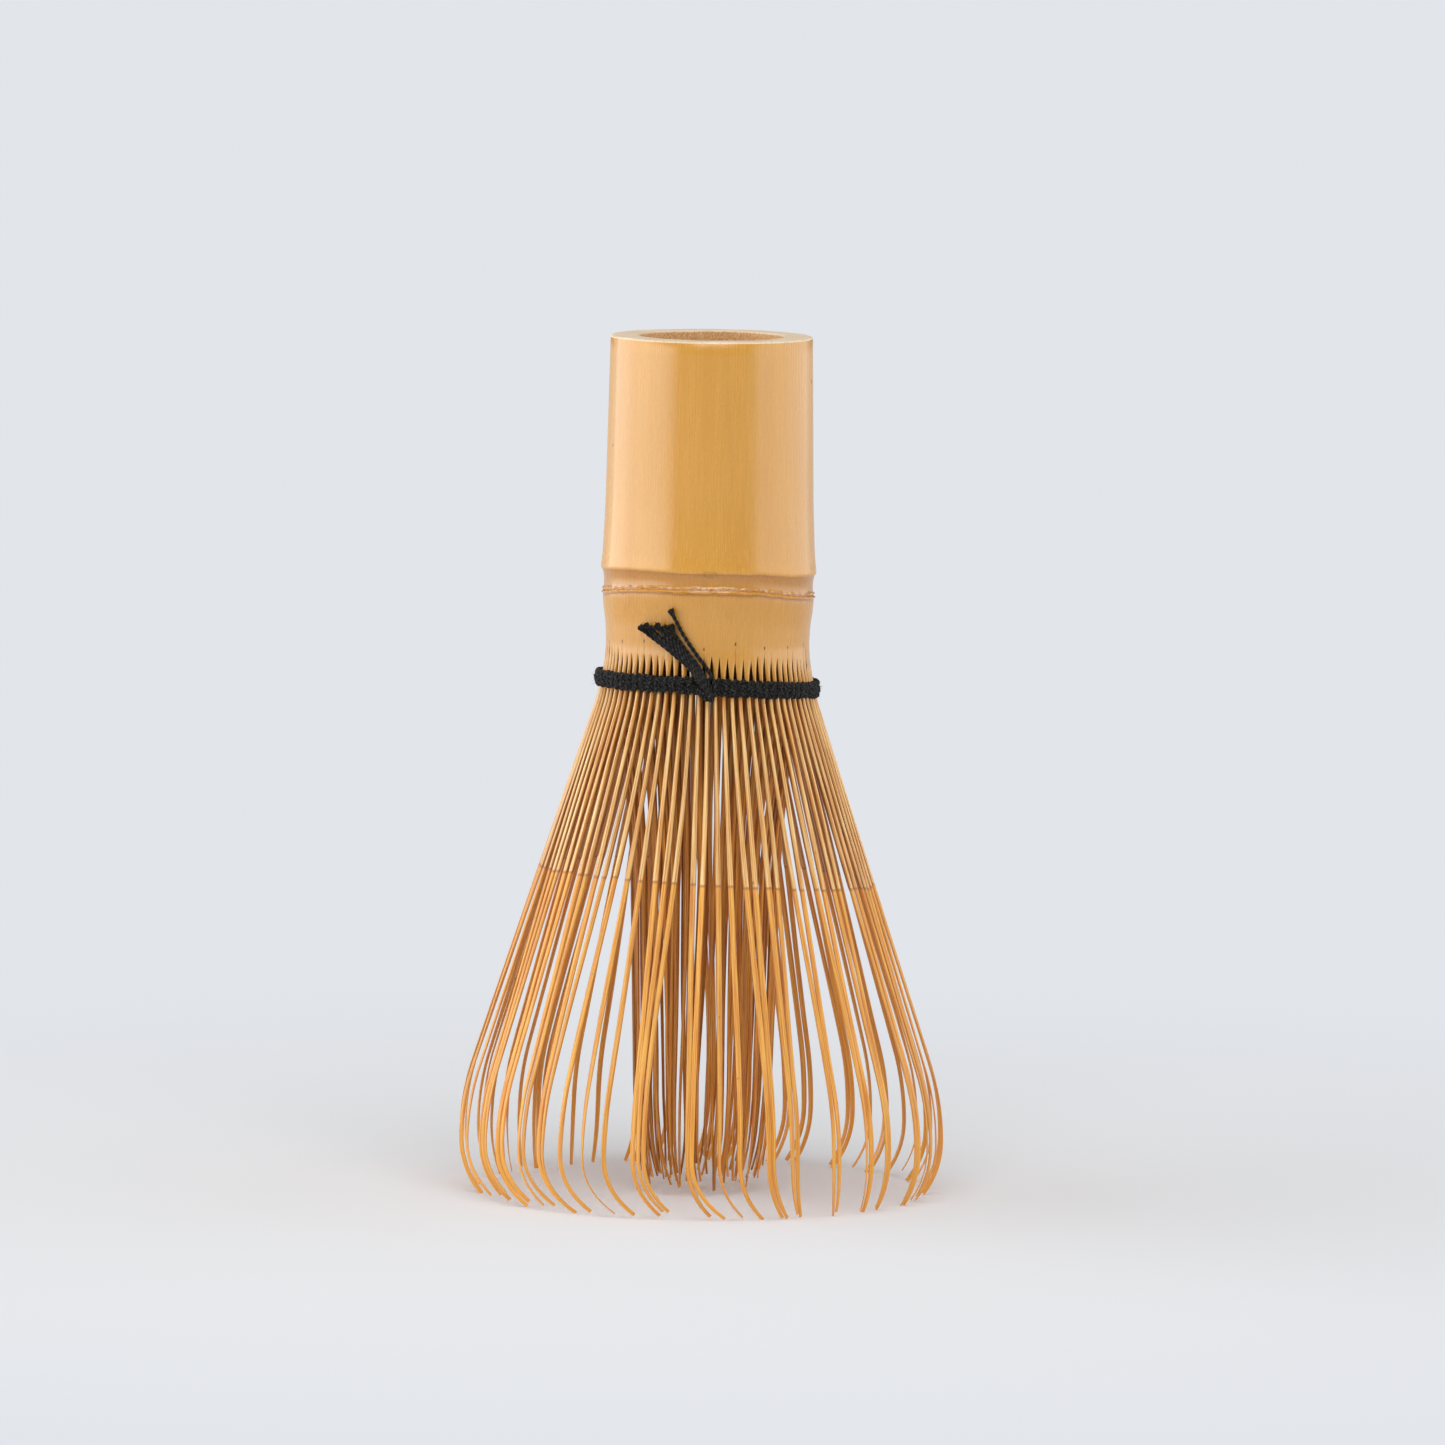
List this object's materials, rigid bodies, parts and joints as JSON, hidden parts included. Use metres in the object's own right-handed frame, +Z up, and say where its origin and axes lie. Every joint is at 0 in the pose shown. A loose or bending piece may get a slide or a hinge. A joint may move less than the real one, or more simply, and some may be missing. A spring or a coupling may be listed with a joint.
{
  "type": "bamboo tea whisk",
  "caption": "Bamboo tea whisk standing on its tines: bored culm handle with a node, splayed outer tines round an inner bundle, bound and knotted with black thread.",
  "frame": {"origin": "centre of the ring of outer tine tips, on the plane that the whisk stands on", "axes": "+Z up along the culm towards the handle's end; -Y is the front, where the thread is knotted; +X is to the right seen from the front"},
  "size_m": [0.0636, 0.0636, 0.1125],
  "materials": {
    "bamboo_culm": "satin bamboo skin, fine lengthways fibres",
    "outer_tine": "split and shaved bamboo, satin",
    "inner_tine": "split and shaved bamboo, satin",
    "thread": "matt twisted black cotton"
  },
  "bodies": {
    "handle": {"handle": "bamboo_culm", "thread_upper_course": "thread", "thread_lower_course": "thread", "thread_knot": "thread", "thread_tail_1": "thread", "thread_tail_2": "thread", "thread_tail_3": "thread", "thread_tail_4": "thread", "thread_tail_5": "thread", "thread_tail_6": "thread", "thread_tail_7": "thread"},
    "outer_tines_01": {"outer_tines_01": "outer_tine"},
    "outer_tines_02": {"outer_tines_02": "outer_tine"},
    "outer_tines_03": {"outer_tines_03": "outer_tine"},
    "outer_tines_04": {"outer_tines_04": "outer_tine"},
    "outer_tines_05": {"outer_tines_05": "outer_tine"},
    "outer_tines_06": {"outer_tines_06": "outer_tine"},
    "outer_tines_07": {"outer_tines_07": "outer_tine"},
    "outer_tines_08": {"outer_tines_08": "outer_tine"},
    "outer_tines_09": {"outer_tines_09": "outer_tine"},
    "outer_tines_10": {"outer_tines_10": "outer_tine"},
    "outer_tines_11": {"outer_tines_11": "outer_tine"},
    "outer_tines_12": {"outer_tines_12": "outer_tine"},
    "outer_tines_13": {"outer_tines_13": "outer_tine"},
    "outer_tines_14": {"outer_tines_14": "outer_tine"},
    "outer_tines_15": {"outer_tines_15": "outer_tine"},
    "outer_tines_16": {"outer_tines_16": "outer_tine"},
    "outer_tines_17": {"outer_tines_17": "outer_tine"},
    "outer_tines_18": {"outer_tines_18": "outer_tine"},
    "outer_tines_19": {"outer_tines_19": "outer_tine"},
    "outer_tines_20": {"outer_tines_20": "outer_tine"},
    "inner_tines_01": {"inner_tines_01": "inner_tine"},
    "inner_tines_02": {"inner_tines_02": "inner_tine"},
    "inner_tines_03": {"inner_tines_03": "inner_tine"},
    "inner_tines_04": {"inner_tines_04": "inner_tine"},
    "inner_tines_05": {"inner_tines_05": "inner_tine"},
    "inner_tines_06": {"inner_tines_06": "inner_tine"},
    "inner_tines_07": {"inner_tines_07": "inner_tine"},
    "inner_tines_08": {"inner_tines_08": "inner_tine"},
    "inner_tines_09": {"inner_tines_09": "inner_tine"},
    "inner_tines_10": {"inner_tines_10": "inner_tine"},
    "inner_tines_11": {"inner_tines_11": "inner_tine"},
    "inner_tines_12": {"inner_tines_12": "inner_tine"},
    "inner_tines_13": {"inner_tines_13": "inner_tine"},
    "inner_tines_14": {"inner_tines_14": "inner_tine"},
    "inner_tines_15": {"inner_tines_15": "inner_tine"},
    "inner_tines_16": {"inner_tines_16": "inner_tine"},
    "inner_tines_17": {"inner_tines_17": "inner_tine"},
    "inner_tines_18": {"inner_tines_18": "inner_tine"},
    "inner_tines_19": {"inner_tines_19": "inner_tine"},
    "inner_tines_20": {"inner_tines_20": "inner_tine"}
  },
  "joints": [
    {"name": "outer_flex_01", "type": "hinge", "parent": "handle", "child": "outer_tines_01", "pos_m": [0.00061, -0.01339, 0.067], "axis": [-0.999, -0.0454, 0], "range_deg": [-2.5, 6], "stiffness_Nm_per_rad": 0.01},
    {"name": "outer_flex_02", "type": "hinge", "parent": "handle", "child": "outer_tines_02", "pos_m": [0.00471, -0.01254, 0.067], "axis": [-0.9361, -0.3518, 0], "range_deg": [-2.5, 6], "stiffness_Nm_per_rad": 0.01},
    {"name": "outer_flex_03", "type": "hinge", "parent": "handle", "child": "outer_tines_03", "pos_m": [0.00836, -0.01047, 0.067], "axis": [-0.7815, -0.6239, 0], "range_deg": [-2.5, 6], "stiffness_Nm_per_rad": 0.01},
    {"name": "outer_flex_04", "type": "hinge", "parent": "handle", "child": "outer_tines_04", "pos_m": [0.01119, -0.00738, 0.067], "axis": [-0.5505, -0.8348, 0], "range_deg": [-2.5, 6], "stiffness_Nm_per_rad": 0.01},
    {"name": "outer_flex_05", "type": "hinge", "parent": "handle", "child": "outer_tines_05", "pos_m": [0.01292, -0.00356, 0.067], "axis": [-0.2656, -0.9641, 0], "range_deg": [-2.5, 6], "stiffness_Nm_per_rad": 0.01},
    {"name": "outer_flex_06", "type": "hinge", "parent": "handle", "child": "outer_tines_06", "pos_m": [0.01339, 0.00061, 0.067], "axis": [0.0454, -0.999, 0], "range_deg": [-2.5, 6], "stiffness_Nm_per_rad": 0.01},
    {"name": "outer_flex_07", "type": "hinge", "parent": "handle", "child": "outer_tines_07", "pos_m": [0.01254, 0.00471, 0.067], "axis": [0.3518, -0.9361, 0], "range_deg": [-2.5, 6], "stiffness_Nm_per_rad": 0.01},
    {"name": "outer_flex_08", "type": "hinge", "parent": "handle", "child": "outer_tines_08", "pos_m": [0.01047, 0.00836, 0.067], "axis": [0.6239, -0.7815, 0], "range_deg": [-2.5, 6], "stiffness_Nm_per_rad": 0.01},
    {"name": "outer_flex_09", "type": "hinge", "parent": "handle", "child": "outer_tines_09", "pos_m": [0.00738, 0.01119, 0.067], "axis": [0.8348, -0.5505, 0], "range_deg": [-2.5, 6], "stiffness_Nm_per_rad": 0.01},
    {"name": "outer_flex_10", "type": "hinge", "parent": "handle", "child": "outer_tines_10", "pos_m": [0.00356, 0.01292, 0.067], "axis": [0.9641, -0.2656, 0], "range_deg": [-2.5, 6], "stiffness_Nm_per_rad": 0.01},
    {"name": "outer_flex_11", "type": "hinge", "parent": "handle", "child": "outer_tines_11", "pos_m": [-0.00061, 0.01339, 0.067], "axis": [0.999, 0.0454, 0], "range_deg": [-2.5, 6], "stiffness_Nm_per_rad": 0.01},
    {"name": "outer_flex_12", "type": "hinge", "parent": "handle", "child": "outer_tines_12", "pos_m": [-0.00471, 0.01254, 0.067], "axis": [0.9361, 0.3518, 0], "range_deg": [-2.5, 6], "stiffness_Nm_per_rad": 0.01},
    {"name": "outer_flex_13", "type": "hinge", "parent": "handle", "child": "outer_tines_13", "pos_m": [-0.00836, 0.01047, 0.067], "axis": [0.7815, 0.6239, 0], "range_deg": [-2.5, 6], "stiffness_Nm_per_rad": 0.01},
    {"name": "outer_flex_14", "type": "hinge", "parent": "handle", "child": "outer_tines_14", "pos_m": [-0.01119, 0.00738, 0.067], "axis": [0.5505, 0.8348, 0], "range_deg": [-2.5, 6], "stiffness_Nm_per_rad": 0.01},
    {"name": "outer_flex_15", "type": "hinge", "parent": "handle", "child": "outer_tines_15", "pos_m": [-0.01292, 0.00356, 0.067], "axis": [0.2656, 0.9641, 0], "range_deg": [-2.5, 6], "stiffness_Nm_per_rad": 0.01},
    {"name": "outer_flex_16", "type": "hinge", "parent": "handle", "child": "outer_tines_16", "pos_m": [-0.01339, -0.00061, 0.067], "axis": [-0.0454, 0.999, 0], "range_deg": [-2.5, 6], "stiffness_Nm_per_rad": 0.01},
    {"name": "outer_flex_17", "type": "hinge", "parent": "handle", "child": "outer_tines_17", "pos_m": [-0.01254, -0.00471, 0.067], "axis": [-0.3518, 0.9361, 0], "range_deg": [-2.5, 6], "stiffness_Nm_per_rad": 0.01},
    {"name": "outer_flex_18", "type": "hinge", "parent": "handle", "child": "outer_tines_18", "pos_m": [-0.01047, -0.00836, 0.067], "axis": [-0.6239, 0.7815, 0], "range_deg": [-2.5, 6], "stiffness_Nm_per_rad": 0.01},
    {"name": "outer_flex_19", "type": "hinge", "parent": "handle", "child": "outer_tines_19", "pos_m": [-0.00738, -0.01119, 0.067], "axis": [-0.8348, 0.5505, 0], "range_deg": [-2.5, 6], "stiffness_Nm_per_rad": 0.01},
    {"name": "outer_flex_20", "type": "hinge", "parent": "handle", "child": "outer_tines_20", "pos_m": [-0.00356, -0.01292, 0.067], "axis": [-0.9641, 0.2656, 0], "range_deg": [-2.5, 6], "stiffness_Nm_per_rad": 0.01},
    {"name": "inner_flex_01", "type": "hinge", "parent": "handle", "child": "inner_tines_01", "pos_m": [0.00054, -0.01199, 0.067], "axis": [-0.999, -0.0454, 0], "range_deg": [0, 3], "stiffness_Nm_per_rad": 0.006},
    {"name": "inner_flex_02", "type": "hinge", "parent": "handle", "child": "inner_tines_02", "pos_m": [0.00422, -0.01123, 0.067], "axis": [-0.9361, -0.3518, 0], "range_deg": [0, 3], "stiffness_Nm_per_rad": 0.006},
    {"name": "inner_flex_03", "type": "hinge", "parent": "handle", "child": "inner_tines_03", "pos_m": [0.00749, -0.00938, 0.067], "axis": [-0.7815, -0.6239, 0], "range_deg": [0, 3], "stiffness_Nm_per_rad": 0.006},
    {"name": "inner_flex_04", "type": "hinge", "parent": "handle", "child": "inner_tines_04", "pos_m": [0.01002, -0.00661, 0.067], "axis": [-0.5505, -0.8348, 0], "range_deg": [0, 3], "stiffness_Nm_per_rad": 0.006},
    {"name": "inner_flex_05", "type": "hinge", "parent": "handle", "child": "inner_tines_05", "pos_m": [0.01157, -0.00319, 0.067], "axis": [-0.2656, -0.9641, 0], "range_deg": [0, 3], "stiffness_Nm_per_rad": 0.006},
    {"name": "inner_flex_06", "type": "hinge", "parent": "handle", "child": "inner_tines_06", "pos_m": [0.01199, 0.00054, 0.067], "axis": [0.0454, -0.999, 0], "range_deg": [0, 3], "stiffness_Nm_per_rad": 0.006},
    {"name": "inner_flex_07", "type": "hinge", "parent": "handle", "child": "inner_tines_07", "pos_m": [0.01123, 0.00422, 0.067], "axis": [0.3518, -0.9361, 0], "range_deg": [0, 3], "stiffness_Nm_per_rad": 0.006},
    {"name": "inner_flex_08", "type": "hinge", "parent": "handle", "child": "inner_tines_08", "pos_m": [0.00938, 0.00749, 0.067], "axis": [0.6239, -0.7815, 0], "range_deg": [0, 3], "stiffness_Nm_per_rad": 0.006},
    {"name": "inner_flex_09", "type": "hinge", "parent": "handle", "child": "inner_tines_09", "pos_m": [0.00661, 0.01002, 0.067], "axis": [0.8348, -0.5505, 0], "range_deg": [0, 3], "stiffness_Nm_per_rad": 0.006},
    {"name": "inner_flex_10", "type": "hinge", "parent": "handle", "child": "inner_tines_10", "pos_m": [0.00319, 0.01157, 0.067], "axis": [0.9641, -0.2656, 0], "range_deg": [0, 3], "stiffness_Nm_per_rad": 0.006},
    {"name": "inner_flex_11", "type": "hinge", "parent": "handle", "child": "inner_tines_11", "pos_m": [-0.00054, 0.01199, 0.067], "axis": [0.999, 0.0454, 0], "range_deg": [0, 3], "stiffness_Nm_per_rad": 0.006},
    {"name": "inner_flex_12", "type": "hinge", "parent": "handle", "child": "inner_tines_12", "pos_m": [-0.00422, 0.01123, 0.067], "axis": [0.9361, 0.3518, 0], "range_deg": [0, 3], "stiffness_Nm_per_rad": 0.006},
    {"name": "inner_flex_13", "type": "hinge", "parent": "handle", "child": "inner_tines_13", "pos_m": [-0.00749, 0.00938, 0.067], "axis": [0.7815, 0.6239, 0], "range_deg": [0, 3], "stiffness_Nm_per_rad": 0.006},
    {"name": "inner_flex_14", "type": "hinge", "parent": "handle", "child": "inner_tines_14", "pos_m": [-0.01002, 0.00661, 0.067], "axis": [0.5505, 0.8348, 0], "range_deg": [0, 3], "stiffness_Nm_per_rad": 0.006},
    {"name": "inner_flex_15", "type": "hinge", "parent": "handle", "child": "inner_tines_15", "pos_m": [-0.01157, 0.00319, 0.067], "axis": [0.2656, 0.9641, 0], "range_deg": [0, 3], "stiffness_Nm_per_rad": 0.006},
    {"name": "inner_flex_16", "type": "hinge", "parent": "handle", "child": "inner_tines_16", "pos_m": [-0.01199, -0.00054, 0.067], "axis": [-0.0454, 0.999, 0], "range_deg": [0, 3], "stiffness_Nm_per_rad": 0.006},
    {"name": "inner_flex_17", "type": "hinge", "parent": "handle", "child": "inner_tines_17", "pos_m": [-0.01123, -0.00422, 0.067], "axis": [-0.3518, 0.9361, 0], "range_deg": [0, 3], "stiffness_Nm_per_rad": 0.006},
    {"name": "inner_flex_18", "type": "hinge", "parent": "handle", "child": "inner_tines_18", "pos_m": [-0.00938, -0.00749, 0.067], "axis": [-0.6239, 0.7815, 0], "range_deg": [0, 3], "stiffness_Nm_per_rad": 0.006},
    {"name": "inner_flex_19", "type": "hinge", "parent": "handle", "child": "inner_tines_19", "pos_m": [-0.00661, -0.01002, 0.067], "axis": [-0.8348, 0.5505, 0], "range_deg": [0, 3], "stiffness_Nm_per_rad": 0.006},
    {"name": "inner_flex_20", "type": "hinge", "parent": "handle", "child": "inner_tines_20", "pos_m": [-0.00319, -0.01157, 0.067], "axis": [-0.9641, 0.2656, 0], "range_deg": [0, 3], "stiffness_Nm_per_rad": 0.006}
  ]
}
